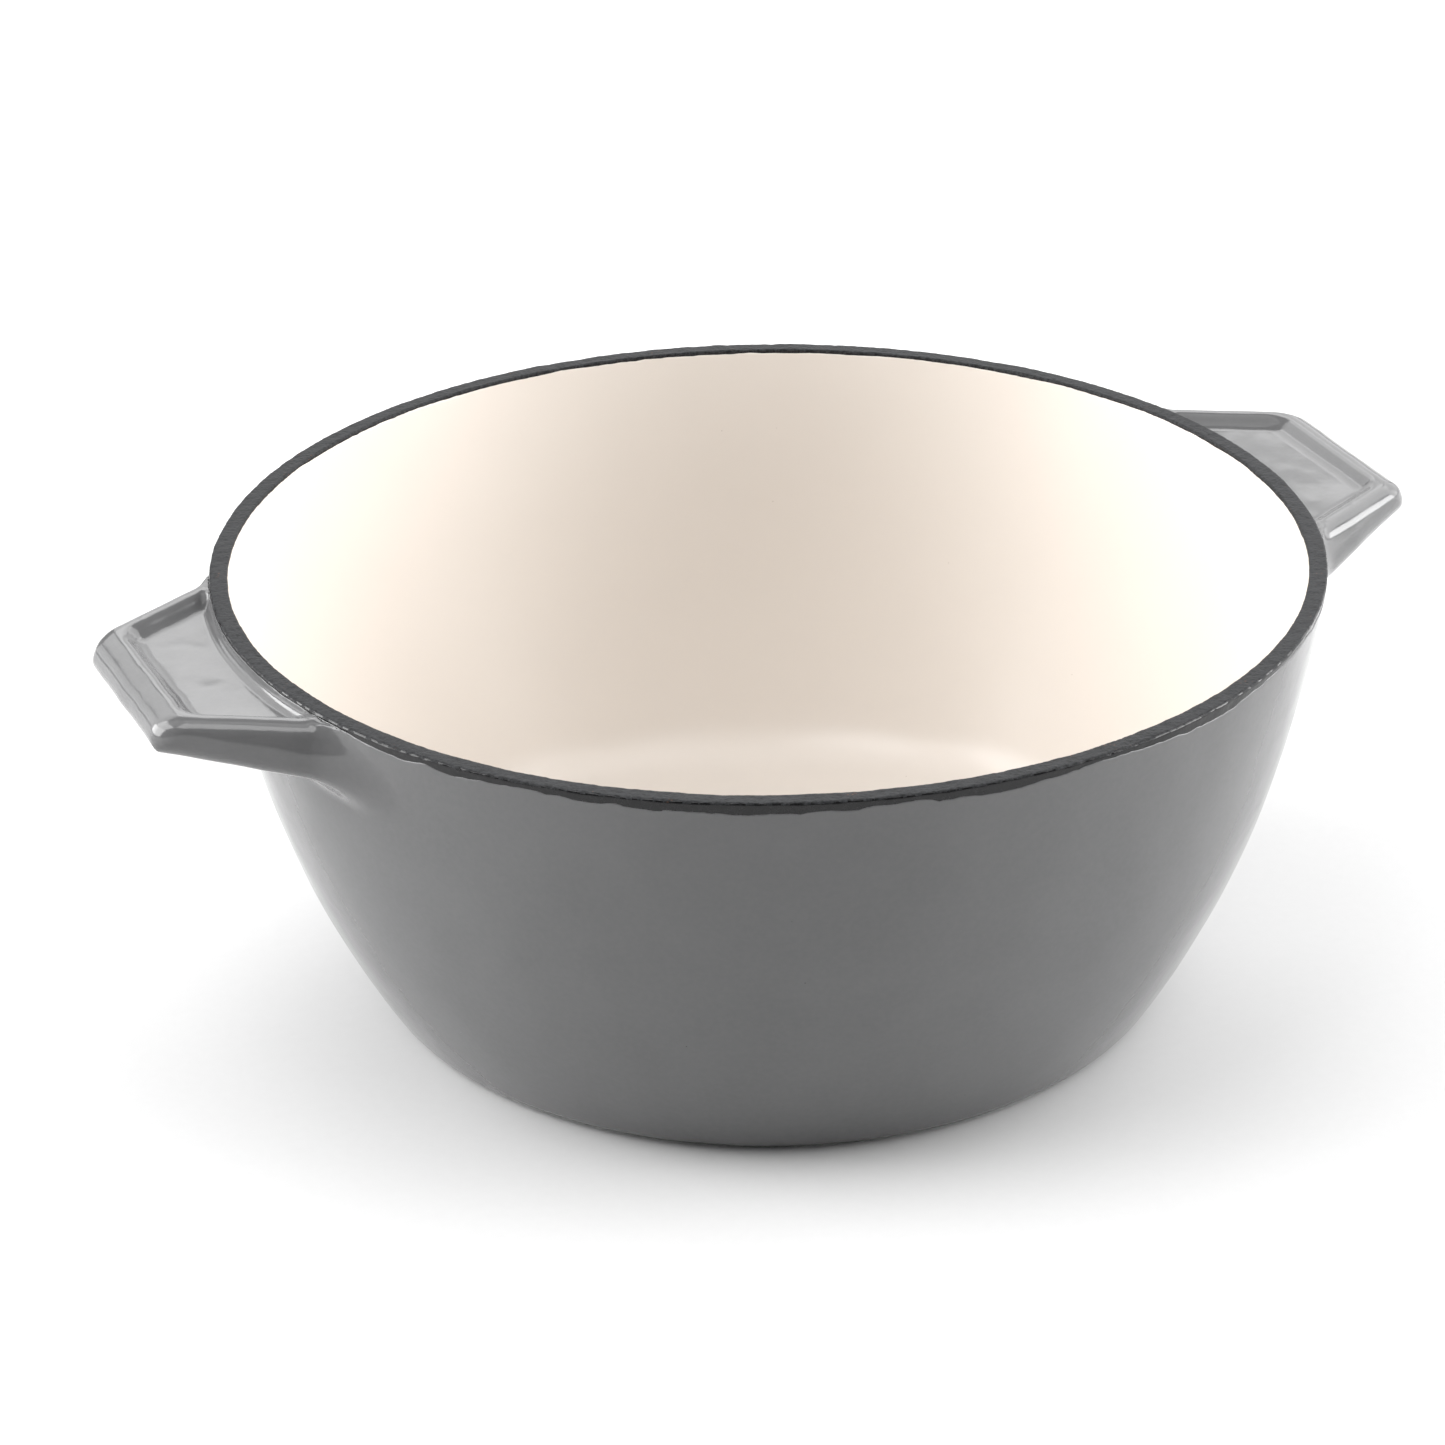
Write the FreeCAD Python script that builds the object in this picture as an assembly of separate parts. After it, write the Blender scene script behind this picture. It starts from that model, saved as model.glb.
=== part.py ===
"""Open enamelled cast iron dutch oven: one tapering round pot with two cast lug handles.

Frame: origin at the centre of the base, +Z up, the two handles along -X and +X.  Millimetres.

The iron is one pour on the real pot.  Here the bowl and each handle are solids of their own
that meet face to face, and every enamel coat is a thin solid that lies on the iron.
"""

import FreeCAD, Part
import math
import os

from FreeCAD import Placement, Rotation, Vector

# ---------------------------------------------------------------- driving dimensions

HEIGHT = 115.0                  # base to rim
RIM_RADIUS = 140.0              # outside of the rim
WALL = 4.8                      # wall with its coats, which is also the width of the rim
FLOOR = 5.6                     # bottom with its coats
COAT = 0.4                      # one enamel coat

RIM_LEAN = 9.2                  # degrees the wall leans outward from the vertical at the rim
UPPER_ARC = 540.0               # radius of the gently bowed upper wall
KNEE_HEIGHT = 74.0              # where the upper wall passes into the rounder lower wall
LOWER_ARC = 244.0               # radius of the lower wall
BASE_CORNER = 8.0               # outside radius where the wall turns under the base
INNER_CORNER = 24.0             # inside radius between the wall and the cooking surface

RIM_OUTER_ROUND = 0.9           # rounding of the rim's outer edge
RIM_INNER_ROUND = 0.9           # rounding of the rim's inner edge
RIM_BAND = 2.2                  # how far the black rim coat reaches down the outside
RIM_LIP = 1.0                   # how far it reaches down the inside

BASE_RECESS = 0.8               # depth of the shallow recess under the base
BASE_RECESS_RADIUS = 82.0
BASE_COAT_RADIUS = 97.0         # the base coat ends just round the corner of the base

CREST_DROP = 1.3                # handle crest below the rim
CREST_REACH = 165.9             # handle's outer crest line, from the pot's axis
CREST_HALF_WIDTH = 27.7         # half the length of that line
SIDE_SPLAY = 29.0               # degrees each side opens towards the wall
END_FLARE = 43.0                # degrees the end face leans outward going down
SIDE_FLARE = 17.5               # degrees the side faces lean outward going down
HANDLE_DEPTH = 10.7             # crest to underside at the outer end
UNDERSIDE_SLOPE = 9.4           # degrees the underside falls towards the wall

HANDLE_CORNER = 5.0             # rounding of the two corners in plan
UNDERSIDE_ROUND = 4.0           # rounding of the underside's edge
CREST_ROUND = 2.2               # rounding of the crest's outer edge
CREST_WIDTH = 4.9               # raised border around the tray
TRAY_DEPTH = 3.0
TRAY_LEAN = 42.0                # degrees the tray's walls lean from the vertical
TRAY_CORNER = 3.0               # rounding of the tray's corners in plan
TRAY_FILLET = 3.6               # rounding between the tray's walls and floor
ROOT_FILLET = 2.0               # rounding where a handle grows out of the wall

BLOCK_START = 100.0             # a handle is cut from a block that starts here, inside the bowl
BLOCK_SIZE = (100.0, 160.0, 60.0)
BLOCK_BASE = 65.0               # and stands on this level
CUTTER = 400.0                  # size of the blocks that cut it
LONG_EDGE = 5.0                 # the corners' edges rise more than this
CORNER_REACH = 8.0              # and lie within this of the crest line

HANDLE_ZONE_HALF_WIDTH = 58.0   # the handle's enamel runs this far along the wall
HANDLE_ZONE_DEPTH = 24.0        # and this far below the rim

CENTRE = Vector(0, 0, 0)
UP = Vector(0, 0, 1)


# ---------------------------------------------------------------- the bowl

def on_arc(centre, radius, lean):
    """Point of a wall arc where the wall leans outward by lean radians."""
    return centre + Vector(radius * math.cos(lean), 0, -radius * math.sin(lean))


def wall_centres():
    """Centres of the two wall arcs, and the lean where they meet."""
    lean = math.radians(RIM_LEAN)
    rim = Vector(RIM_RADIUS, 0, HEIGHT)
    upper = rim - Vector(UPPER_ARC * math.cos(lean), 0, -UPPER_ARC * math.sin(lean))
    knee = math.asin((upper.z - KNEE_HEIGHT) / UPPER_ARC)
    lower = on_arc(upper, UPPER_ARC - LOWER_ARC, knee)
    return upper, lower, knee


def bowl_solid(depth, floor, corner, top=HEIGHT):
    """Solid of revolution inside the surface that lies depth below the pot's outer face."""
    upper, lower, knee = wall_centres()
    upper_radius = UPPER_ARC - depth
    lower_radius = LOWER_ARC - depth
    top_lean = math.asin((upper.z - top) / upper_radius)
    # the corner arc touches the floor and the lower wall arc from inside
    corner_z = floor + corner
    corner_x = lower.x + math.sqrt((lower_radius - corner) ** 2 - (lower.z - corner_z) ** 2)
    corner_centre = Vector(corner_x, 0, corner_z)
    corner_lean = math.atan2(lower.z - corner_z, corner_x - lower.x)
    bottom_lean = math.radians(90)

    def arc(centre, radius, start, end):
        middle = on_arc(centre, radius, (start + end) / 2)
        return Part.Arc(on_arc(centre, radius, start), middle, on_arc(centre, radius, end)).toShape()

    wall = [
        arc(upper, upper_radius, top_lean, knee),
        arc(lower, lower_radius, knee, corner_lean),
        arc(corner_centre, corner, corner_lean, bottom_lean),
    ]
    rim = on_arc(upper, upper_radius, top_lean)
    foot = on_arc(corner_centre, corner, bottom_lean)
    closing = Part.makePolygon([foot, Vector(0, 0, floor), Vector(0, 0, top), rim])
    outline = Part.Wire(wall + closing.Edges)
    solid = Part.Face(outline).revolve(CENTRE, UP, 360)
    solid.rotate(CENTRE, UP, 90)    # the seam of the round faces stays clear of the handles
    return solid


def hollow(inset):
    """The pot's inside, grown by inset into the wall."""
    return bowl_solid(WALL - inset, FLOOR - inset, INNER_CORNER + inset, HEIGHT)


def recess(inset):
    """Shallow round recess under the base, grown by inset into the bottom."""
    return Part.makeCylinder(BASE_RECESS_RADIUS + inset, BASE_RECESS + inset)


def round_rim(bowl, top, inset):
    """Round the two circular edges at the top of the hollow bowl."""
    middle = RIM_RADIUS - WALL / 2
    for outside, radius in ((True, RIM_OUTER_ROUND), (False, RIM_INNER_ROUND)):
        circles = [e for e in bowl.Edges if e.BoundBox.ZMin > top - 0.01]
        circles = [e for e in circles if (e.BoundBox.DiagonalLength > middle * 2 * math.sqrt(2)) == outside]
        bowl = bowl.makeFillet(radius - inset, circles)
    return bowl


# ---------------------------------------------------------------- the handles

def beyond(point, normal):
    """Large block on the outer side of a plane."""
    block = Part.makeBox(CUTTER, CUTTER, CUTTER, Vector(-CUTTER / 2, -CUTTER / 2, 0))
    block.Placement = Placement(point, Rotation(UP, normal))
    return block


def bounded(block, planes, growth):
    """Block cut back to a set of planes, each moved outward by growth."""
    for point, normal in planes:
        block = block.cut(beyond(point + normal * growth, normal))
    return block


def plan_normal(angle, rise):
    """Unit vector at an angle from +X in plan, raised by rise degrees."""
    angle = math.radians(angle)
    rise = math.radians(rise)
    flat = Vector(math.cos(angle), math.sin(angle), 0)
    return flat * math.cos(rise) + UP * math.sin(rise)


def lug_planes():
    """Planes of a handle's outside: crest, end, two sides and underside."""
    crest = HEIGHT - CREST_DROP
    end = Vector(CREST_REACH, 0, crest)
    slope = math.radians(UNDERSIDE_SLOPE)
    planes = [
        (end, UP),
        (end, plan_normal(0, END_FLARE)),
        (end - UP * HANDLE_DEPTH, Vector(math.sin(slope), 0, -math.cos(slope))),
    ]
    for side in (1, -1):
        corner = Vector(CREST_REACH, side * CREST_HALF_WIDTH, crest)
        planes.append((corner, plan_normal(side * (90 - SIDE_SPLAY), SIDE_FLARE)))
    return planes


def tray_planes():
    """Planes of the hollow in a handle's top: floor, end wall and two side walls."""
    crest = HEIGHT - CREST_DROP
    end = Vector(CREST_REACH - CREST_WIDTH, 0, crest)
    planes = [
        (end - UP * TRAY_DEPTH, -UP),
        (end, plan_normal(0, -TRAY_LEAN)),
    ]
    for side in (1, -1):
        outward = plan_normal(side * (90 - SIDE_SPLAY), 0)
        corner = Vector(CREST_REACH, side * CREST_HALF_WIDTH, crest) - outward * CREST_WIDTH
        planes.append((corner, plan_normal(side * (90 - SIDE_SPLAY), -TRAY_LEAN)))
    return planes


def lug(inset):
    """Right handle with its tray, inset below the outer face of its enamel."""
    crest = HEIGHT - CREST_DROP - inset
    half_tray = HEIGHT - CREST_DROP - TRAY_DEPTH / 2
    block = Part.makeBox(*BLOCK_SIZE, Vector(BLOCK_START, -BLOCK_SIZE[1] / 2, BLOCK_BASE))

    def outer(edge):
        return edge.BoundBox.XMax > BLOCK_START + 1

    def corner(edge):
        box = edge.BoundBox
        return box.XMax > CREST_REACH - CORNER_REACH and box.ZLength > LONG_EDGE and box.ZMin < half_tray

    body = bounded(block, lug_planes(), -inset)
    body = body.makeFillet(HANDLE_CORNER - inset, [e for e in body.Edges if corner(e)])
    low = [e for e in body.Edges if outer(e) and e.BoundBox.ZMax < crest - HANDLE_DEPTH / 2]
    body = body.makeFillet(UNDERSIDE_ROUND - inset, low)

    tray = bounded(block, tray_planes(), inset)
    tray = tray.makeFillet(TRAY_CORNER + inset, [e for e in tray.Edges if corner(e)])
    low = [e for e in tray.Edges if outer(e) and e.BoundBox.ZMax < half_tray]
    tray = tray.makeFillet(TRAY_FILLET + inset, low)
    body = body.cut(tray)

    edges = [e for e in body.Edges if outer(e) and e.BoundBox.ZMin > crest - 0.01]
    return body.makeFillet(CREST_ROUND - inset, edges)


# ---------------------------------------------------------------- iron and coats

def root_edges(whole, bowl):
    """Edges where the handles' outer faces meet the wall."""
    skin = Part.Compound([f for f in bowl.Faces if f.BoundBox.ZMax > HEIGHT - 5])

    def on_wall(edge):
        middle = edge.valueAt((edge.FirstParameter + edge.LastParameter) / 2)
        return skin.distToShape(Part.Vertex(middle))[0] < 0.001

    near_rim = [e for e in whole.Edges if KNEE_HEIGHT + 1 < e.BoundBox.ZMin < e.BoundBox.ZMax < HEIGHT - 1]
    return [e for e in near_rim if on_wall(e)]


def bare_bowl(inset):
    """Hollow bowl without handles, inset everywhere below the outer face of its coats."""
    top = HEIGHT - inset
    bowl = bowl_solid(inset, inset, BASE_CORNER - inset, top).cut(hollow(inset))
    return round_rim(bowl.cut(recess(inset)), top, inset)


def pot(bowl, inset):
    """The bowl with both handles grown out of its wall."""
    right = lug(inset).cut(mid_wall())
    left = right.copy()
    left.rotate(CENTRE, UP, 180)
    whole = bowl.fuse([right, left])
    return whole.makeFillet(ROOT_FILLET, root_edges(whole, bowl))


def mid_wall():
    """Everything inside the surface half way through the wall and the bottom."""
    return bowl_solid(WALL / 2, FLOOR / 2, INNER_CORNER)


def slab(low, high):
    """Everything between two levels."""
    reach = 2 * RIM_RADIUS
    return Part.makeBox(2 * reach, 2 * reach, high - low, Vector(-reach, -reach, low))


def handle_zone(side):
    """The stretch of wall and the handle on one side, -1 for left and 1 for right."""
    depth = HANDLE_ZONE_DEPTH
    start = Vector(RIM_RADIUS / 2, -HANDLE_ZONE_HALF_WIDTH, HEIGHT - depth)
    zone = Part.makeBox(RIM_RADIUS, 2 * HANDLE_ZONE_HALF_WIDTH, depth, start)
    zone.rotate(CENTRE, UP, 0 if side > 0 else 180)
    return zone


def save(name, shape):
    """Write one node, checked to be closed and of the expected kind."""
    solids = [s for s in shape.Solids if s.Volume > 1]
    if len(solids) != 1 or not solids[0].isValid():
        raise ValueError(f"{name} is not one valid solid: {len(solids)} solids")
    solids[0].exportStep(f"parts/{name}.step")
    print(f"{name}: {solids[0].Volume / 1000:.1f} cm3")


def main():
    os.makedirs("parts", exist_ok=True)
    iron_bowl = bare_bowl(COAT)
    iron = pot(iron_bowl, COAT)
    iron_handles = iron.cut(iron_bowl)
    coats = pot(bare_bowl(0), 0).cut(iron)
    save("pot_casting", iron_bowl)

    rim_zone = bowl_solid(-COAT, -COAT, BASE_CORNER).common(slab(HEIGHT - RIM_BAND, HEIGHT + 1))
    rim_zone = rim_zone.cut(mid_wall().common(slab(0, HEIGHT - RIM_LIP)))
    base_zone = Part.makeCylinder(BASE_COAT_RADIUS, FLOOR / 2)
    inside_zone = mid_wall()

    save("rim_coat", coats.common(rim_zone))
    coats = coats.cut(rim_zone)
    save("base_coat", coats.common(base_zone))
    coats = coats.cut(base_zone)
    save("interior_enamel", coats.common(inside_zone))
    coats = coats.cut(inside_zone)

    for name, side in (("left", -1), ("right", 1)):
        zone = handle_zone(side)
        save(f"{name}_handle_casting", iron_handles.common(zone))
        save(f"{name}_handle_enamel", coats.common(zone))
        coats = coats.cut(zone)
    save("exterior_enamel", coats)


if __name__ == "__main__":
    main()
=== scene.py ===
"""Looks of the open cast iron dutch oven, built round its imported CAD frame.

Shapes are worked out in millimetres in the part's own frame (base centre at the origin, +Z up,
handles along -X and +X) and scaled to metres when a mesh is made.
"""
import math

import bmesh
import bpy
import numpy as np
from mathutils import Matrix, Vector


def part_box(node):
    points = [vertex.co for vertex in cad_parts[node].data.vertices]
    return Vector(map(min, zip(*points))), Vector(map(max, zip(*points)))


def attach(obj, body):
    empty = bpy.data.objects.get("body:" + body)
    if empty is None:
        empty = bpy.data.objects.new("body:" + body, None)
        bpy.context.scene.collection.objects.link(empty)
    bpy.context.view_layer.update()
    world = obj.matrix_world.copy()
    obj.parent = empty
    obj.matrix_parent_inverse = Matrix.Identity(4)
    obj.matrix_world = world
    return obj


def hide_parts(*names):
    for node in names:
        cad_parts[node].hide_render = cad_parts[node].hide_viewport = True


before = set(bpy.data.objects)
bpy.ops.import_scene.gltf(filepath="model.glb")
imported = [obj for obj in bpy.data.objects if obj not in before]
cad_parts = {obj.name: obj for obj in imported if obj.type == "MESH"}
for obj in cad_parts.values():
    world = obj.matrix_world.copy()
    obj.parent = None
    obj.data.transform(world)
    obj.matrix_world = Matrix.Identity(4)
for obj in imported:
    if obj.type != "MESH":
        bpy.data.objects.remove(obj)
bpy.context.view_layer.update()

import openvdb
from mathutils import Matrix, Vector

MM = 0.001

# ------------------------------------------------------------------ driving dimensions, mm

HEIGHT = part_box("rim_coat")[1].z / MM
RIM_RADIUS = 140.0              # outside of the rim
WALL = 4.8                      # width of the rim
FLOOR = 5.6                     # level of the cooking surface
COAT = 0.4                      # one coat of enamel
RIM_LEAN = math.radians(9.2)    # outward lean of the wall at the rim
UPPER_ARC = 540.0               # bow of the upper wall
KNEE_HEIGHT = 74.0              # where the rounder lower wall begins
LOWER_ARC = 244.0
BASE_CORNER = 8.0
INNER_CORNER = 24.0
BASE_COAT_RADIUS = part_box("base_coat")[1].x / MM

CREST = HEIGHT - 1.3            # level of the handles' crest
CREST_REACH = 165.9             # crest line of the handle's outer end, from the pot's axis
CREST_HALF_WIDTH = 27.7
SIDE_SPLAY = math.radians(29.0)
END_FLARE = math.radians(43.0)
SIDE_FLARE = math.radians(17.5)
HANDLE_DEPTH = 10.7
UNDERSIDE_SLOPE = math.radians(9.4)
CREST_WIDTH = 4.9
TRAY_DEPTH = 2.8
TRAY_LEAN = math.radians(30.0)

BODY = "root"
SHARP_ANGLE = math.radians(50)
INSIDE_WAVINESS = 0.25          # share of the outside's waviness that the smoother inside has


# ------------------------------------------------------------------ camera

VIEW_AZIMUTH = -23.6            # degrees; 0 looks along +Y
VIEW_ELEVATION = 28.8
VIEW_DISTANCE = 1.2906          # metres from the centre of the base
VIEW_AIM = Vector((0.0026, 0.0366, 0.050))
VIEW_ROLL = -0.8                # degrees the camera's right side tilts up
LENS = 123.0
SENSOR = 36.0


def around(turn, elevation, distance):
    """A point at that distance from the base's centre; turn 0 is at the camera, 90 to its right."""
    a = math.radians(VIEW_AZIMUTH + turn)
    e = math.radians(elevation)
    return Vector((math.sin(a) * math.cos(e), -math.cos(a) * math.cos(e), math.sin(e))) * distance


def aim(obj, target, roll=0.0):
    """Turn a camera or light at obj.location towards target."""
    turn = (target - obj.location).to_track_quat("-Z", "Y").to_matrix()
    obj.rotation_euler = (turn @ Matrix.Rotation(math.radians(roll), 3, "Z")).to_euler()


def add_camera():
    data = bpy.data.cameras.new("camera")
    data.lens = LENS
    data.sensor_width = SENSOR
    data.clip_start = 0.05
    data.clip_end = 50.0
    camera = bpy.data.objects.new("camera", data)
    bpy.context.collection.objects.link(camera)
    camera.location = around(0, VIEW_ELEVATION, VIEW_DISTANCE)
    aim(camera, VIEW_AIM, VIEW_ROLL)
    bpy.context.scene.camera = camera


# ------------------------------------------------------------------ numbers that shapes share

def ripples(points, shortest, longest, seed, count=28):
    """Smooth random field of unit spread: plane waves with wavelengths in mm between the two."""
    random = np.random.default_rng(seed)
    directions = random.normal(size=(count, 3))
    directions /= np.linalg.norm(directions, axis=1)[:, None]
    waves = np.exp(random.uniform(math.log(shortest), math.log(longest), count))
    phases = random.uniform(0, 2 * math.pi, count)
    total = np.zeros(points.shape[:-1])
    for direction, wave, phase in zip(directions, waves, phases):
        total += np.sin(points @ direction * (2 * math.pi / wave) + phase)
    return total * math.sqrt(2 / count)


def smooth_step(value, low, high):
    """0 below low, 1 above high and a smooth rise between them."""
    t = np.clip((value - low) / (high - low), 0, 1)
    return t * t * (3 - 2 * t)


def casting_waviness(points):
    """How far the cast and enamelled surface stands off its true shape, mm."""
    return 0.035 * ripples(points, 14, 45, seed=3) + 0.008 * ripples(points, 5, 11, seed=4)


# ------------------------------------------------------------------ the bowl's outlines

def wall_arcs():
    """Centre, radius and leans of the wall's two arcs, for the outer face."""
    rim = np.array([RIM_RADIUS, HEIGHT])
    upper = rim - UPPER_ARC * np.array([math.cos(RIM_LEAN), -math.sin(RIM_LEAN)])
    knee = math.asin((upper[1] - KNEE_HEIGHT) / UPPER_ARC)
    lower = upper + (UPPER_ARC - LOWER_ARC) * np.array([math.cos(knee), -math.sin(knee)])
    return upper, lower, knee


def arc(centre, radius, start, end, step):
    """Points of a wall arc between two leans, about step apart."""
    lean = np.linspace(start, end, max(2, round(abs(end - start) * radius / step) + 1))
    return centre + radius * np.stack([np.cos(lean), -np.sin(lean)], 1)


def meridian(depth, floor, corner, step=0.25):
    """(radius, height) points of the face depth below the outer one, from the rim to the axis."""
    upper, lower, knee = wall_arcs()
    upper_radius = UPPER_ARC - depth
    lower_radius = LOWER_ARC - depth
    top = math.asin((upper[1] - HEIGHT) / upper_radius)
    drop = lower[1] - floor - corner
    reach = math.sqrt((lower_radius - corner) ** 2 - drop ** 2)
    turn = math.atan2(drop, reach)
    centre = np.array([lower[0] + reach, floor + corner])
    flat = np.array([[0.0, floor]])
    return np.concatenate([
        arc(upper, upper_radius, top, knee, step)[:-1],
        arc(lower, lower_radius, knee, turn, step)[:-1],
        arc(centre, corner, turn, math.pi / 2, step),
        flat,
    ])


class Outline:
    """A meridian that can be sampled by the distance along it from the rim."""

    def __init__(self, points):
        self.points = points
        steps = np.linalg.norm(np.diff(points, axis=0), axis=1)
        self.distance = np.concatenate([[0], np.cumsum(steps)])
        self.length = self.distance[-1]

    def at(self, distance):
        return np.stack([np.interp(distance, self.distance, self.points[:, k]) for k in (0, 1)], -1)

    def outward(self, distance):
        """Unit normals away from the axis and down."""
        step = self.at(distance + 0.3) - self.at(distance - 0.3)
        normal = np.stack([-step[..., 1], step[..., 0]], -1)
        return normal / np.linalg.norm(normal, axis=-1)[..., None]

    def where_radius(self, radius):
        """Distance along the lower part of the outline at which it has come in to this radius."""
        return float(np.interp(-radius, -self.points[:, 0], self.distance))


def turned(profile, angles):
    """Points of (radius, height) values given per row and column, turned round the axis."""
    radius, height = profile[..., 0], profile[..., 1]
    return np.stack([radius * np.cos(angles), radius * np.sin(angles), height], -1)


def columns(count):
    return np.linspace(0, 2 * math.pi, count, endpoint=False)


def ring_faces(rows, count, loop=False):
    """Quads of a grid whose columns run right round the pot; with loop, its rows close too."""
    row, column = np.meshgrid(np.arange(rows if loop else rows - 1), np.arange(count), indexing="ij")
    below = (row + 1) % rows
    beside = (column + 1) % count
    corners = [row * count + column, below * count + column, below * count + beside, row * count + beside]
    return np.stack(corners, -1).reshape(-1, 4)


# ------------------------------------------------------------------ meshes

def vertex_normals(points, faces):
    a, b, c, d = (points[faces[:, k]] for k in range(4))
    cross = np.cross(c - a, d - b)
    normals = np.zeros_like(points)
    for k in range(4):
        np.add.at(normals, faces[:, k], cross)
    return normals / np.maximum(np.linalg.norm(normals, axis=1), 1e-12)[:, None]


def thicken(points, faces, thickness):
    """Close an open skin into a coat: a second skin below it and a wall along each open edge."""
    count = len(points)
    inner = points - vertex_normals(points, faces) * thickness
    edges = np.concatenate([faces[:, [k, (k + 1) % 4]] for k in range(4)])
    key = np.sort(edges, axis=1) @ np.array([count, 1])
    _, first, uses = np.unique(key, return_index=True, return_counts=True)
    rim = edges[first[uses == 1]]
    sides = np.stack([rim[:, 1], rim[:, 0], rim[:, 0] + count, rim[:, 1] + count], 1)
    return np.concatenate([points, inner]), np.concatenate([faces, faces[:, ::-1] + count, sides])


def make_piece(name, points, faces, materials, slots=None, merge=False):
    """A smooth-shaded mesh object from points in mm and quads; merge joins points that coincide."""
    mesh = bpy.data.meshes.new(name)
    mesh.vertices.add(len(points))
    mesh.vertices.foreach_set("co", (points * MM).astype(np.float32).ravel())
    mesh.loops.add(faces.size)
    mesh.loops.foreach_set("vertex_index", faces.astype(np.int32).ravel())
    mesh.polygons.add(len(faces))
    mesh.polygons.foreach_set("loop_start", np.arange(0, faces.size, 4, dtype=np.int32))
    for material in materials:
        mesh.materials.append(material)
    if slots is not None:
        mesh.polygons.foreach_set("material_index", slots.astype(np.int32))
    mesh.update(calc_edges=True)
    if merge:
        work = bmesh.new()
        work.from_mesh(mesh)
        bmesh.ops.remove_doubles(work, verts=work.verts, dist=0.01 * MM)
        work.to_mesh(mesh)
        work.free()
    mesh.validate()
    mesh.shade_smooth()
    mesh.set_sharp_from_angle(angle=SHARP_ANGLE)
    piece = bpy.data.objects.new(name, mesh)
    bpy.context.collection.objects.link(piece)
    return piece


# ------------------------------------------------------------------ bowl pieces

OUTER = Outline(meridian(0, 0, BASE_CORNER))
INNER = Outline(meridian(WALL, FLOOR, INNER_CORNER))


HANDLE_ARC = math.radians(15)   # half the rim that a handle takes up
HANDLE_EDGE = 1.0               # depth of the grey coat's edge there
FREE_EDGE = 2.3                 # its mean depth elsewhere,
EDGE_SWAY = 0.9                 # and how far it sways from that
BAND_SINK = 0.2                 # the black ground coat lies this far below the grey enamel's face
OUTER_LIP = 0.55                # the grey coat's edge rounds down to the black band over this width,
OUTER_LIP_END = 2.2             # and its rows are evenly spaced from here on
INNER_EDGE = 0.9                # mean depth of the cream coat's edge
INNER_LIP = 0.35                # the cream coat's edge rounds back over this width,
INNER_LIP_SINK = 0.15           # by this much,
INNER_LIP_END = 2.0             # and its rows are evenly spaced from here on


def outer_edge(angles):
    """How far below the rim the grey enamel's wavy edge runs, mm; it is highest at the handles."""
    circle = RIM_RADIUS * np.stack([np.cos(angles), np.sin(angles), 0 * angles], -1)
    wave = 0.8 * ripples(circle, 40, 110, seed=11) + 0.35 * ripples(circle, 9, 25, seed=12)
    free = FREE_EDGE + EDGE_SWAY * np.tanh(wave)
    from_handle = np.abs((angles + math.pi / 2) % math.pi - math.pi / 2)
    blend = smooth_step(from_handle, HANDLE_ARC, 2 * HANDLE_ARC)
    ragged = 0.12 * ripples(circle, 2.5, 7, seed=13)
    return HANDLE_EDGE + (free - HANDLE_EDGE) * blend + ragged


def inner_edge(angles):
    """How far below the rim the cream enamel's edge runs inside, mm."""
    circle = RIM_RADIUS * np.stack([np.cos(angles), np.sin(angles), 0 * angles], -1)
    wave = 0.2 * np.tanh(ripples(circle, 12, 60, seed=21))
    return INNER_EDGE + wave + 0.06 * ripples(circle, 2, 6, seed=22)


def wall_point(outline, distance, angles, offset, share=1.0):
    """Points offset outward from an outline, with a share of the casting's waviness added."""
    base = turned(outline.at(distance), angles)
    normal = turned(outline.outward(distance), angles)
    return base + normal * (offset + share * casting_waviness(base))[..., None]


def exterior_coat(material):
    """Grey enamel on the wall, from its wavy upper edge to just under the base's corner."""
    count = 520
    angles = columns(count)[None, :]
    top = outer_edge(angles)
    bottom = OUTER.where_radius(BASE_COAT_RADIUS)
    lip = np.array([0.0, 0.04, 0.14, 0.3, OUTER_LIP, 0.9, 1.4])[:, None]
    sink = BAND_SINK * (1 - np.sqrt(1 - (1 - np.minimum(lip / OUTER_LIP, 1)) ** 2))
    below = np.linspace(0, 1, 74)[:, None]
    start = top + OUTER_LIP_END
    distance = np.concatenate([top + lip, start + (bottom - start) * below])
    offset = -np.concatenate([sink, 0 * below])
    points = wall_point(OUTER, distance, np.broadcast_to(angles, distance.shape), offset)
    points, faces = thicken(points.reshape(-1, 3), ring_faces(len(distance), count), COAT)
    return make_piece("exterior_enamel_coat", points, faces, [material])


def interior_coat(material):
    """Cream enamel inside, from just under the rim down the wall and across the floor."""
    count = 480
    angles = columns(count)[None, :]
    top = inner_edge(angles)
    last = INNER.length
    lip = np.array([0.0, 0.05, 0.15, INNER_LIP, 0.7, 1.2])[:, None]
    sink = INNER_LIP_SINK * (1 - np.minimum(lip / INNER_LIP, 1)) ** 2
    below = np.linspace(0, 1, 90)[:, None]
    start = top + INNER_LIP_END
    distance = np.concatenate([top + lip, start + (last - start) * below])
    offset = np.concatenate([sink, 0 * below])
    spread = np.broadcast_to(angles, distance.shape)
    points = wall_point(INNER, distance, spread, offset, INSIDE_WAVINESS)
    faces = ring_faces(len(distance), count)[:, ::-1]
    points, faces = thicken(points.reshape(-1, 3), faces, COAT)
    return make_piece("interior_enamel_coat", points, faces, [material], merge=True)


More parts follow.
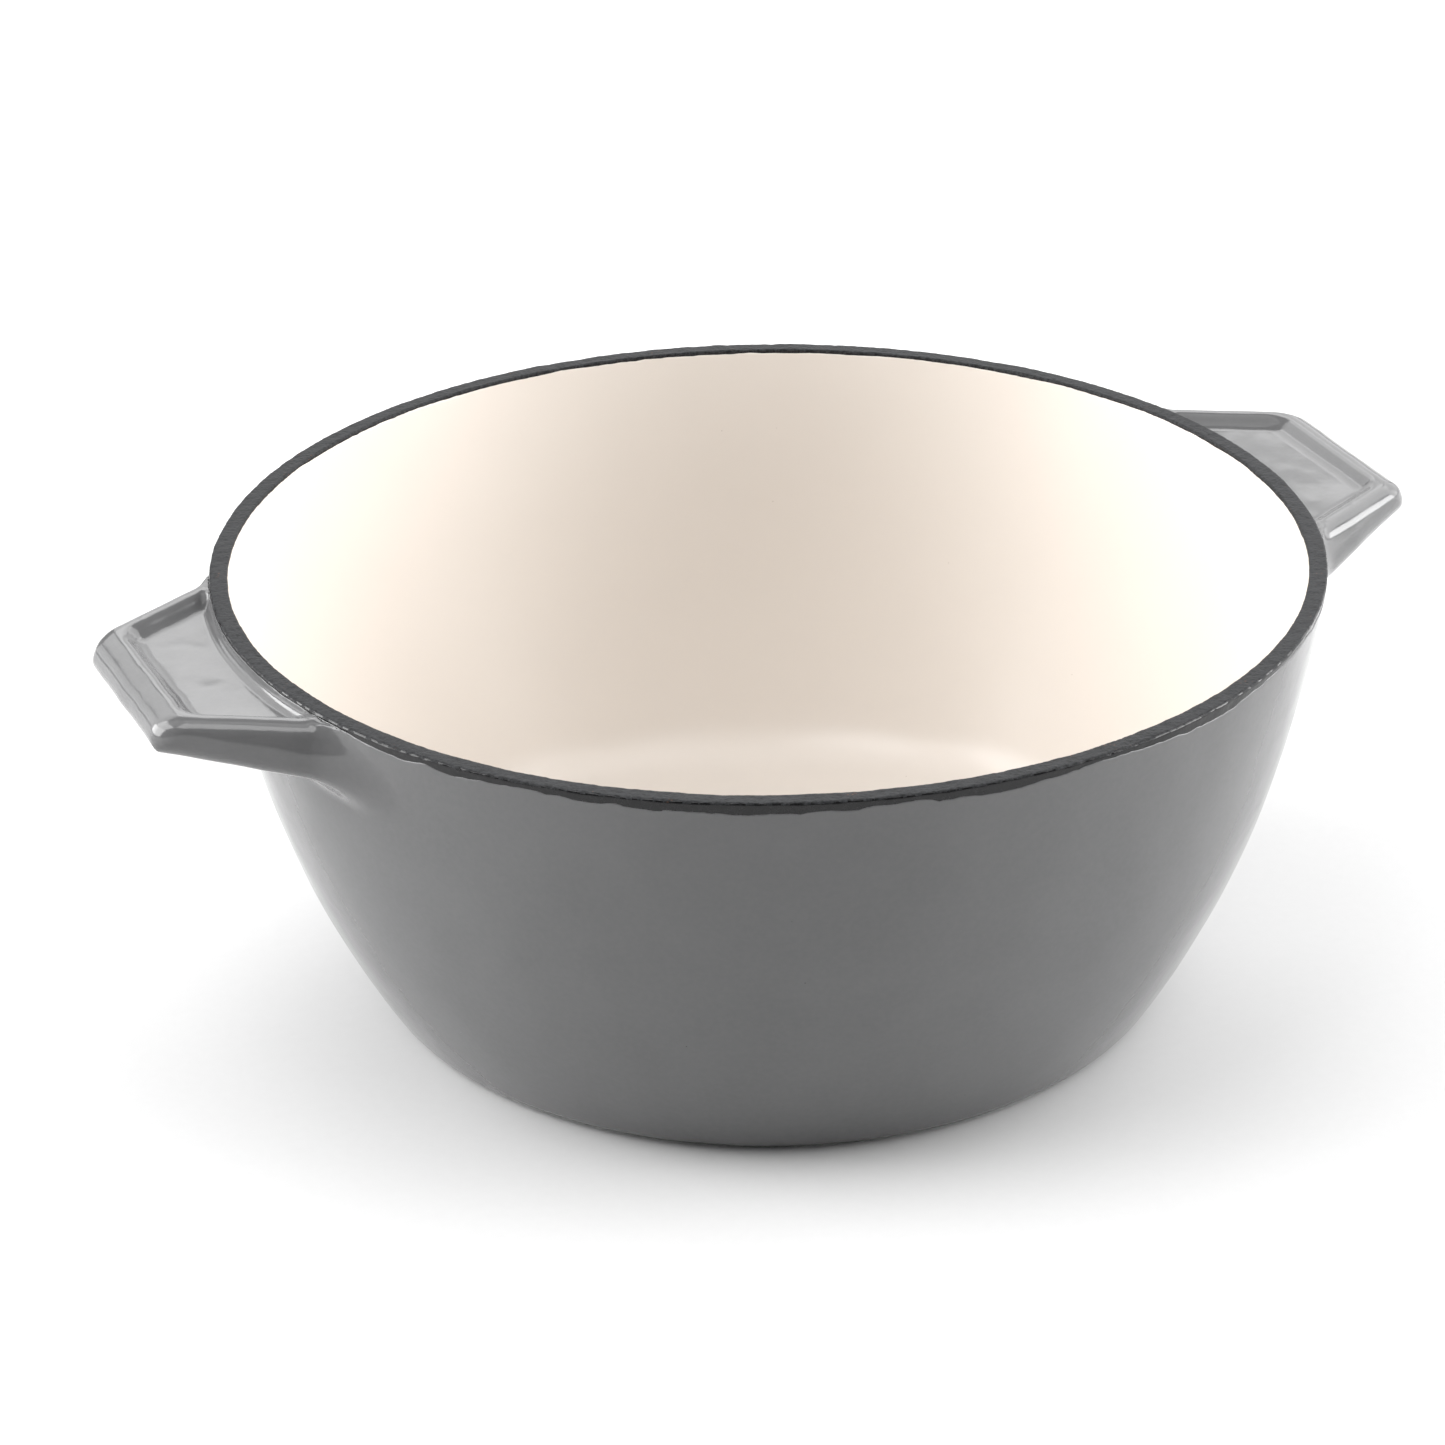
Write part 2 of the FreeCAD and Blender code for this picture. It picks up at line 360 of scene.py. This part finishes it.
RECESS_HEIGHT = 0.8             # of the hollow under the base
RECESS_RADIUS = 82.0            # of the middle of the slope round it
RECESS_SLOPE = 1.0              # half the width of that slope
BASE_GRAIN = 0.02
BASE_LIFT = 0.03                # keeps nearly all of the grain above the ground


def base_coat(material):
    """Black ground coat under the pot: a foot ring round a shallow recess."""
    count = 360
    start = OUTER.where_radius(BASE_COAT_RADIUS)
    corner = OUTER.at(np.linspace(start, OUTER.where_radius(OUTER.points[-2, 0]), 4))
    slope_start = RECESS_RADIUS + RECESS_SLOPE
    slope_end = RECESS_RADIUS - RECESS_SLOPE
    foot = np.stack([np.linspace(corner[-1, 0], slope_start, 9)[1:], np.zeros(8)], 1)
    turn = np.linspace(0, 1, 9)[1:]
    height = RECESS_HEIGHT * (1 - np.cos(math.pi * turn)) / 2
    rise = np.stack([slope_start - 2 * RECESS_SLOPE * turn, height], 1)
    flat = np.stack([np.linspace(slope_end, 0, 42)[1:], np.full(41, RECESS_HEIGHT)], 1)
    profile = np.concatenate([corner, foot, rise, flat])[:, None, :] * np.ones((1, count, 1))
    points = turned(profile, np.broadcast_to(columns(count), profile.shape[:2])).reshape(-1, 3)
    points[:, 2] += BASE_GRAIN * ripples(points, 4, 16, seed=51) + BASE_LIFT
    points, faces = thicken(points, ring_faces(len(profile), count), COAT)
    return make_piece("base_ground_coat", points, faces, [material], merge=True)


RIM_OUTER_ROUND = 0.7
RIM_INNER_ROUND = 0.5
BAND_END = 5.0                  # depth to which the black coat runs under the grey one outside
INSIDE_END = 2.6                # and under the cream one inside,
TUCK = 0.3                      # where it ends up this far behind the cream face


def rim_profile():
    """Outline of the rim's ground coat, and how grainy and how matt each of its points is.

    Grain and matt run from 0, smooth and glossy, to 1; the change between them is near matt 0.5.
    """
    depth = np.linspace(BAND_END, RIM_OUTER_ROUND, 13)
    band = OUTER.at(depth) - BAND_SINK * OUTER.outward(depth)
    turn = np.linspace(0, math.pi / 2, 6)[1:]
    outer = np.array([band[-1, 0] - RIM_OUTER_ROUND, HEIGHT - RIM_OUTER_ROUND])
    outer_round = outer + RIM_OUTER_ROUND * np.stack([np.cos(turn), np.sin(turn)], 1)
    lip = INNER.at(np.array([RIM_INNER_ROUND]))[0]
    inner = np.array([lip[0] + RIM_INNER_ROUND, HEIGHT - RIM_INNER_ROUND])
    inner_round = inner + RIM_INNER_ROUND * np.stack([-np.sin(turn), np.cos(turn)], 1)
    land = np.linspace(outer_round[-1], inner_round[0], 11)[1:]
    depth = np.linspace(RIM_INNER_ROUND, INSIDE_END, 8)
    behind = TUCK * smooth_step(depth, 0.6, 1.6)
    inside = INNER.at(depth) + behind[:, None] * INNER.outward(depth)
    buried = np.array([inside[-1] + [1.2, -0.6], band[0] + [-1.0, -0.2]])
    parts = [                   # points, grain, matt
        (band, 0.2, 0.0),
        (outer_round[:2], 0.8, 0.5),
        (outer_round[2:], 1.0, 1.0),
        (land, 1.0, 1.0),
        (inner_round[1:], 0.9, 1.0),
        (inside[:3], 0.6, 1.0),
        (inside[3:], 0.2, 1.0),
        (buried, 0.0, 1.0),
    ]
    points = np.concatenate([part for part, _, _ in parts])
    grain = np.concatenate([np.full(len(part), value) for part, value, _ in parts])
    matt = np.concatenate([np.full(len(part), value) for part, _, value in parts])
    return points, grain, matt


def rim_coat(matt_material, gloss_material):
    """Black ground coat: the grainy matt rim, and the glossy band just below it outside."""
    count = 2200
    angles = columns(count)
    profile, grain, matt = rim_profile()
    step = np.roll(profile, -1, axis=0) - np.roll(profile, 1, axis=0)
    normal = np.stack([step[:, 1], -step[:, 0]], 1)
    normal /= np.linalg.norm(normal, axis=1)[:, None]
    spread = np.broadcast_to(angles, (len(profile), count))
    base = turned(profile[:, None, :] + np.zeros((1, count, 1)), spread)
    outward = turned(normal[:, None, :] + np.zeros((1, count, 1)), spread)
    rough = 0.022 * ripples(base, 1.2, 3.0, seed=31) + 0.035 * ripples(base, 3, 9, seed=32)
    smooth = 0.03 * ripples(base, 5, 18, seed=33)
    height = grain[:, None] * rough + (1 - grain[:, None]) * smooth + casting_waviness(base)
    points = base + outward * height[..., None]
    ragged = 0.5 * ripples(base, 1.2, 6, seed=34)
    glossy = (matt[:, None] + ragged * (matt[:, None] == 0.5) < 0.5).astype(int)
    faces = ring_faces(len(profile), count, loop=True)
    materials = [matt_material, gloss_material]
    return make_piece("rim_ground_coat", points.reshape(-1, 3), faces[:, ::-1], materials, glossy.ravel())


# ------------------------------------------------------------------ handles

HANDLE_CORNER = 4.0
UNDERSIDE_ROUND = 9.5
CREST_ROUND = 3.0
TRAY_CREST_ROUND = 1.2
TRAY_CORNER = 3.2
TRAY_FILLET = 2.8
ROOT_ROUND = 6.5                # where the sides and underside grow out of the wall
CREST_ROOT_ROUND = 3.5          # where the crest does
TRAY_ROOT_ROUND = 2.8           # where the tray's floor meets the wall
HANDLE_LIFT = 0.02              # the handle's coat lies this far over the wall's coat,
HANDLE_SINK = 0.1               # and beyond the root it sinks by this much
SKIRT = 3.0                     # over this width
ROOT_GROWTH = (1, 7)            # drops below the crest between which a side's root grows to ROOT_ROUND
TRAY_SIDES = (-5, -1)           # the tray's root gives way to the sides' between these distances from
TRAY_BELOW = (5.7, 9.7)         # the plan outline, or between these drops below the crest
TOP_ROUND = 0.3                 # of the coat's edge along the rim
HANDLE_WAVINESS = 0.03          # of the handle's own, on top of the casting's
IRON_START = -0.3               # the handle's iron starts at this distance from the wall's face
IRON_ROUND = 0.1
VOXEL = 0.45
IRON_VOXEL = 0.9
SETTLING_STEPS = 4              # that take a voxel surface's points onto the exact shape


def rounded_max(a, b, radius):
    """Larger of two signed distances, with the edge between the surfaces rounded."""
    corner = np.hypot(np.maximum(a + radius, 0), np.maximum(b + radius, 0))
    return np.minimum(np.maximum(a, b), -radius) + corner


def rounded_min(a, b, radius):
    """Smaller of two signed distances, with the corner between the surfaces filled."""
    return -rounded_max(-a, -b, radius)


def plane(points, at, bearing, rise):
    """Signed distance from a plane whose outward normal has this bearing from +X and this rise."""
    level = math.cos(rise)
    normal = np.array([math.cos(bearing) * level, math.sin(bearing) * level, math.sin(rise)])
    return (points - np.array(at)) @ normal


def lug_distance(p):
    """Signed distances from the handle with its tray, and from its plan outline, right handle."""
    bearing = math.pi / 2 - SIDE_SPLAY
    end = plane(p, (CREST_REACH, 0, CREST), 0, END_FLARE)
    inner_end = plane(p, (CREST_REACH - CREST_WIDTH, 0, CREST), 0, -TRAY_LEAN)
    sides, inner_sides = [], []
    for side in (1, -1):
        corner = np.array([CREST_REACH, side * CREST_HALF_WIDTH, CREST])
        outward = np.array([math.cos(bearing), side * math.sin(bearing), 0])
        sides.append(plane(p, corner, side * bearing, SIDE_FLARE))
        inner_sides.append(plane(p, corner - outward * CREST_WIDTH, side * bearing, -TRAY_LEAN))
    outline = rounded_max(end, np.maximum(*sides), HANDLE_CORNER)
    under = plane(p, (CREST_REACH, 0, CREST - HANDLE_DEPTH), 0, UNDERSIDE_SLOPE - math.pi / 2)
    lug = rounded_max(outline, under, UNDERSIDE_ROUND)
    lug = rounded_max(lug, p[..., 2] - CREST, CREST_ROUND)
    tray = rounded_max(inner_end, np.maximum(*inner_sides), TRAY_CORNER)
    tray = rounded_max(tray, CREST - TRAY_DEPTH - p[..., 2], TRAY_FILLET)
    return rounded_max(lug, -tray, TRAY_CREST_ROUND), outline


def wall_distance(p):
    """Signed distance from the wall's outer face, for the upper wall."""
    centre, _, _ = wall_arcs()
    radius = np.hypot(p[..., 0], p[..., 1])
    return np.hypot(radius - centre[0], p[..., 2] - centre[1]) - UPPER_ARC


def handle_shape(p, side, edge=HANDLE_EDGE):
    """Signed distance from the handle grown out of the wall; side is -1 left, 1 right."""
    lug, outline = lug_distance(p * np.array([side, side, 1]))
    sink = HANDLE_SINK * smooth_step(lug, ROOT_ROUND, ROOT_ROUND + SKIRT)
    wall = wall_distance(p) - HANDLE_LIFT + sink
    drop = CREST - p[..., 2]
    low = smooth_step(drop, *ROOT_GROWTH)
    side_root = CREST_ROOT_ROUND + (ROOT_ROUND - CREST_ROOT_ROUND) * low
    beside = np.maximum(smooth_step(outline, *TRAY_SIDES), smooth_step(drop, *TRAY_BELOW))
    root = TRAY_ROOT_ROUND + (side_root - TRAY_ROOT_ROUND) * beside
    return rounded_max(rounded_min(lug, wall, root), p[..., 2] - HEIGHT + edge, TOP_ROUND)


def gradient(function, p, step=0.02):
    """Central differences of a field at each point."""
    slopes = [function(p + step * axis) - function(p - step * axis) for axis in np.eye(3)]
    return np.stack(slopes, -1) / (2 * step)


HANDLE_LOW = np.array([106.0, -84.0, 78.0])     # the space that the right handle takes up
HANDLE_HIGH = np.array([173.0, 84.0, 117.0])


def zero_surface(function, voxel, turn):
    """Points and quads where function is 0 in the handle's space, turned to its side."""
    size = np.ceil((HANDLE_HIGH - HANDLE_LOW) / voxel).astype(int)
    steps = np.stack(np.meshgrid(*[np.arange(n) for n in size], indexing="ij"), -1)
    field = function((HANDLE_LOW + steps * voxel) * turn)
    grid = openvdb.FloatGrid(10.0)
    grid.copyFromArray(np.ascontiguousarray(field, dtype=np.float32))
    points, faces = grid.convertToQuads(isovalue=0.0)
    return (HANDLE_LOW + np.asarray(points, float) * voxel) * turn, np.asarray(faces, int)


def outward_facing(points, faces, outward):
    """The quads, all turned over if they face inward."""
    a, b, c = (points[faces[:, k]] for k in range(3))
    facing = (np.cross(b - a, c - a) * outward[faces[:, 0]]).sum()
    return faces if facing > 0 else faces[:, ::-1]


def handle_coat(name, side, material):
    """Grey enamel over one handle, flowing out onto the wall.

    Points near the faces of the handle's space are dropped, since the surface is cut off there.
    """
    turn = np.array([side, side, 1])
    points, faces = zero_surface(lambda p: handle_shape(p, side), VOXEL, turn)
    edge = outer_edge(np.arctan2(points[:, 1], points[:, 0]))

    def shape(p):
        return handle_shape(p, side, edge)

    start = points
    away = smooth_step(wall_distance(points), 1, 6)
    offset = casting_waviness(points) + HANDLE_WAVINESS * away * ripples(points, 9, 24, seed=40 + side)
    for _ in range(SETTLING_STEPS):
        slope = gradient(shape, points)
        miss = shape(points) - offset
        steepness = np.maximum((slope ** 2).sum(1), 0.05)
        points = points - slope * (miss / steepness)[:, None]
    lug, _ = lug_distance(points * turn)
    margin = 2 * VOXEL
    kept = (lug < ROOT_ROUND + SKIRT) & (wall_distance(points) > -2 * HANDLE_SINK)
    kept &= np.linalg.norm(points - start, axis=1) < margin
    kept &= (start * turn > HANDLE_LOW + margin).all(1)
    kept &= (start * turn < HANDLE_HIGH - margin).all(1)
    faces = outward_facing(points, faces[kept[faces].all(1)], gradient(shape, points))
    used, faces = np.unique(faces, return_inverse=True)
    points, faces = thicken(points[used], faces.reshape(-1, 4), COAT)
    return make_piece(name, points, faces, [material])


def handle_iron(name, side, material):
    """The iron inside one handle, cast with the bowl that it stands on."""
    def shape(p):
        return rounded_max(handle_shape(p, side) + COAT, IRON_START - wall_distance(p), IRON_ROUND)

    turn = np.array([side, side, 1])
    points, faces = zero_surface(shape, IRON_VOXEL, turn)
    faces = outward_facing(points, faces, gradient(shape, points))
    return make_piece(name, points, faces, [material])


# ------------------------------------------------------------------ materials

class Paint:
    """A material's nodes, with short calls for the few that the materials share."""

    def __init__(self, name):
        self.material = bpy.data.materials.new(name)
        self.material.use_nodes = True
        self.nodes = self.material.node_tree.nodes
        self.links = self.material.node_tree.links
        self.shader = self.nodes["Principled BSDF"]
        self.where = self.nodes.new("ShaderNodeTexCoord").outputs["Object"]

    def set(self, socket, value):
        self.shader.inputs[socket].default_value = value

    def noise(self, size, detail=2.0, roughness=0.5, stretch=None):
        """Smooth noise from 0 to 1 whose features are about size mm across."""
        node = self.nodes.new("ShaderNodeTexNoise")
        node.inputs["Scale"].default_value = 1 / (size * MM)
        node.inputs["Detail"].default_value = detail
        node.inputs["Roughness"].default_value = roughness
        where = self.where
        if stretch is not None:
            mapping = self.nodes.new("ShaderNodeMapping")
            mapping.inputs["Scale"].default_value = stretch
            self.links.new(where, mapping.inputs["Vector"])
            where = mapping.outputs["Vector"]
        self.links.new(where, node.inputs["Vector"])
        return node.outputs["Fac"]

    def specks(self, spacing, size):
        """1 in round specks of about size mm, fading to 0 round them, one to each cell of spacing mm."""
        node = self.nodes.new("ShaderNodeTexVoronoi")
        node.inputs["Scale"].default_value = 1 / (spacing * MM)
        self.links.new(self.where, node.inputs["Vector"])
        return self.ranged(node.outputs["Distance"], 0.5 * size / spacing, 0.35 * size / spacing, 0, 1)

    def ranged(self, value, low, high, to_low, to_high):
        """Carry value from low..high to to_low..to_high, clamped."""
        node = self.nodes.new("ShaderNodeMapRange")
        node.inputs["From Min"].default_value = low
        node.inputs["From Max"].default_value = high
        node.inputs["To Min"].default_value = to_low
        node.inputs["To Max"].default_value = to_high
        self.links.new(value, node.inputs["Value"])
        return node.outputs["Result"]

    def times(self, a, b):
        node = self.nodes.new("ShaderNodeMath")
        node.operation = "MULTIPLY"
        self.links.new(a, node.inputs[0])
        self.links.new(b, node.inputs[1])
        return node.outputs["Value"]

    def mixed(self, share, first, second):
        """Colour going from first to second with share; each is a colour or a socket."""
        node = self.nodes.new("ShaderNodeMix")
        node.data_type = "RGBA"
        self.links.new(share, node.inputs["Factor"])
        for name, colour in (("A", first), ("B", second)):
            socket = next(s for s in node.inputs if s.name == name and s.type == "RGBA")
            if isinstance(colour, bpy.types.NodeSocket):
                self.links.new(colour, socket)
            else:
                socket.default_value = (*colour, 1)
        return next(s for s in node.outputs if s.type == "RGBA")

    def colour(self, socket):
        self.links.new(socket, self.shader.inputs["Base Color"])

    def roughness(self, socket):
        self.links.new(socket, self.shader.inputs["Roughness"])

    def relief(self, *layers):
        """Bump from (height socket, height in mm) layers, one over the other."""
        normal = None
        for height, depth in layers:
            node = self.nodes.new("ShaderNodeBump")
            node.inputs["Distance"].default_value = depth * MM
            self.links.new(height, node.inputs["Height"])
            if normal is not None:
                self.links.new(normal, node.inputs["Normal"])
            normal = node.outputs["Normal"]
        self.links.new(normal, self.shader.inputs["Normal"])


def grey_enamel():
    """Glossy grey glass fused on iron, with faint orange peel, clouding and a few dark specks."""
    paint = Paint("grey_enamel")
    paint.set("IOR", 1.5)
    cloud = paint.ranged(paint.noise(35, 3), 0.3, 0.7, 0, 1)
    fine = paint.ranged(paint.noise(1.6, 3, 0.6), 0.35, 0.65, 0, 1)
    base = paint.mixed(cloud, (0.110, 0.110, 0.112), (0.122, 0.122, 0.124))
    base = paint.mixed(paint.ranged(fine, 0, 1, 0, 0.12), base, (0.16, 0.16, 0.162))
    rare = paint.ranged(paint.noise(9), 0.62, 0.66, 0, 0.75)
    base = paint.mixed(paint.times(paint.specks(4.0, 0.35), rare), base, (0.02, 0.02, 0.02))
    paint.colour(base)
    paint.roughness(paint.ranged(paint.noise(6, 2), 0.3, 0.7, 0.10, 0.16))
    paint.relief((paint.noise(7, 2), 0.05), (paint.noise(1.8, 2), 0.006))
    return paint.material


def cream_enamel():
    """Satin cream glass inside, with faint clouding, streaks, pinholes and a soft orange peel."""
    paint = Paint("cream_enamel")
    cloud = paint.ranged(paint.noise(60, 2), 0.3, 0.7, 0, 1)
    streak = paint.ranged(paint.noise(14, 1, 0.5, stretch=(1, 1, 0.25)), 0.3, 0.8, 0, 0.1)
    base = paint.mixed(cloud, (0.704, 0.652, 0.600), (0.710, 0.659, 0.607))
    base = paint.mixed(streak, base, (0.690, 0.639, 0.585))
    pinholes = paint.ranged(paint.specks(13.0, 0.35), 0, 1, 0, 0.6)
    paint.colour(paint.mixed(pinholes, base, (0.30, 0.25, 0.20)))
    paint.roughness(paint.ranged(paint.noise(30, 2), 0.3, 0.7, 0.28, 0.31))
    paint.relief((paint.noise(12, 1), 0.02), (paint.noise(1.7, 1), 0.003))
    return paint.material


def matt_ground_coat():
    """Matt black ground coat on the rim: sandy, with pale worn grains and a little rust."""
    paint = Paint("matt_ground_coat")
    grain = paint.ranged(paint.noise(0.8, 4, 0.65), 0.38, 0.66, 0, 1)
    base = paint.mixed(grain, (0.005, 0.0055, 0.006), (0.038, 0.039, 0.042))
    rust = paint.times(paint.ranged(paint.noise(7, 2), 0.6, 0.7, 0, 1), paint.specks(1.3, 0.6))
    base = paint.mixed(paint.ranged(rust, 0, 1, 0, 0.6), base, (0.13, 0.06, 0.035))
    paint.colour(base)
    paint.roughness(paint.ranged(grain, 0, 1, 0.5, 0.7))
    paint.set("Specular IOR Level", 0.2)
    paint.relief((paint.noise(1.0, 3, 0.6), 0.2), (paint.noise(0.4, 2), 0.06))
    return paint.material


def glossy_ground_coat():
    """Black ground coat where it stayed glossy: the band under the rim, and the base."""
    paint = Paint("glossy_ground_coat")
    grain = paint.ranged(paint.noise(1.1, 3, 0.6), 0.35, 0.7, 0, 1)
    paint.colour(paint.mixed(grain, (0.006, 0.006, 0.0065), (0.014, 0.014, 0.015)))
    paint.set("Specular IOR Level", 0.35)
    paint.roughness(paint.ranged(paint.noise(3, 3), 0.3, 0.7, 0.12, 0.26))
    paint.relief((paint.noise(3.2, 2), 0.08), (paint.noise(0.8, 2), 0.02))
    return paint.material


def bare_iron():
    """Cast iron as it lies under the enamel: dark grey, sand grained, with a trace of rust."""
    paint = Paint("bare_iron")
    paint.set("Metallic", 0.8)
    grain = paint.ranged(paint.noise(1.0, 4, 0.65), 0.35, 0.7, 0, 1)
    base = paint.mixed(grain, (0.09, 0.088, 0.085), (0.17, 0.165, 0.16))
    rust = paint.ranged(paint.noise(16, 4, 0.6), 0.55, 0.75, 0, 0.5)
    paint.colour(paint.mixed(rust, base, (0.16, 0.07, 0.035)))
    paint.roughness(paint.ranged(grain, 0, 1, 0.5, 0.75))
    paint.relief((paint.noise(1.1, 4, 0.65), 0.12))
    return paint.material


def floor_paper():
    """Plain white studio paper."""
    paint = Paint("floor_paper")
    fibre = paint.ranged(paint.noise(3, 3), 0.3, 0.7, 0, 1)
    paint.colour(paint.mixed(fibre, (0.70, 0.70, 0.70), (0.71, 0.71, 0.71)))
    paint.set("Roughness", 0.8)
    return paint.material


# ------------------------------------------------------------------ stage

LAMP_DISTANCE = 2.2             # metres from the pot
LAMP_HEIGHT = 0.9               # metres, of every softbox but the overhead one
LAMP_POWER = 4.0                # watts for each square metre of a softbox of brightness 1


def add_floor():
    reach = 12.0                # metres to each side
    corners = [(-reach, -reach, 0), (reach, -reach, 0), (reach, reach, 0), (-reach, reach, 0)]
    mesh = bpy.data.meshes.new("floor")
    mesh.from_pydata(corners, [], [(0, 1, 2, 3)])
    mesh.materials.append(floor_paper())
    floor = bpy.data.objects.new("floor", mesh)
    bpy.context.collection.objects.link(floor)


def add_softbox(name, turn, elevation, width, height, brightness):
    """A rectangular softbox facing the pot; its mirror image shows white at brightness 1."""
    data = bpy.data.lights.new(name, "AREA")
    data.shape = "RECTANGLE"
    data.size = width
    data.size_y = height
    data.energy = LAMP_POWER * brightness * width * height
    light = bpy.data.objects.new(name, data)
    bpy.context.collection.objects.link(light)
    light.location = around(turn, elevation, LAMP_DISTANCE)
    light.visible_camera = False
    aim(light, Vector((0, 0, HEIGHT * MM / 2)))


def add_room(brightness):
    """Even pale light from everywhere else in the studio."""
    world = bpy.data.worlds.new("studio")
    world.use_nodes = True
    background = world.node_tree.nodes["Background"]
    background.inputs["Color"].default_value = (1, 1, 1, 1)
    background.inputs["Strength"].default_value = brightness
    bpy.context.scene.world = world


def add_lights():
    """Bright strips at both sides, softer boxes behind and above, and one overhead."""
    round_the_pot = [           # name, turn, elevation, width, brightness
        ("right_strip_softbox", 90, 15, 1.76, 7.1),
        ("left_strip_softbox", 270, 15, 1.76, 6.7),
        ("right_back_softbox", 112, 15, 1.76, 1.2),
        ("back_right_softbox", 135, 15, 1.76, 1.3),
        ("back_softbox", 180, 15, 1.76, 1.1),
        ("left_back_softbox", 248, 15, 1.76, 1.65),
        ("right_softbox", 90, 38, 1.44, 2.5),
        ("left_softbox", 270, 38, 1.44, 5.0),
        ("back_right_high_softbox", 135, 38, 1.44, 2.7),
        ("back_high_softbox", 180, 38, 1.44, 2.5),
        ("back_left_high_softbox", 225, 38, 1.44, 1.8),
        ("right_top_softbox", 90, 62, 0.86, 1.5),
        ("left_top_softbox", 270, 62, 0.86, 0.8),
        ("front_left_top_softbox", 315, 62, 0.86, 3.5),
        ("front_right_top_softbox", 45, 62, 0.86, 1.4),
    ]
    for name, turn, elevation, width, brightness in round_the_pot:
        add_softbox(name, turn, elevation, width, LAMP_HEIGHT, brightness)
    add_softbox("overhead_softbox", 0, 90, 1.25, 1.25, 1.2)
    add_room(0.05)
    bpy.context.scene.view_settings.view_transform = "Standard"


# ------------------------------------------------------------------ the pot

def place(piece, slot, *nodes):
    """Ride on the pot and stand for CAD nodes; the slot argument is not used."""
    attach(piece, BODY)
    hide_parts(*nodes)


grey = grey_enamel()
gloss_black = glossy_ground_coat()
iron = bare_iron()
place(exterior_coat(grey), "grey_enamel", "exterior_enamel")
place(interior_coat(cream_enamel()), "cream_enamel", "interior_enamel")
place(rim_coat(matt_ground_coat(), gloss_black), "black_ground_coat", "rim_coat")
place(base_coat(gloss_black), "black_ground_coat", "base_coat")
for side_name, side in (("left", -1), ("right", 1)):
    coat = handle_coat(side_name + "_handle_enamel_coat", side, grey)
    place(coat, "grey_enamel", side_name + "_handle_enamel")
    core = handle_iron(side_name + "_handle_iron", side, iron)
    place(core, "bare_iron", side_name + "_handle_casting")

pot_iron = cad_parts["pot_casting"].data
pot_iron.materials.clear()
pot_iron.materials.append(iron)

add_camera()
add_floor()
add_lights()
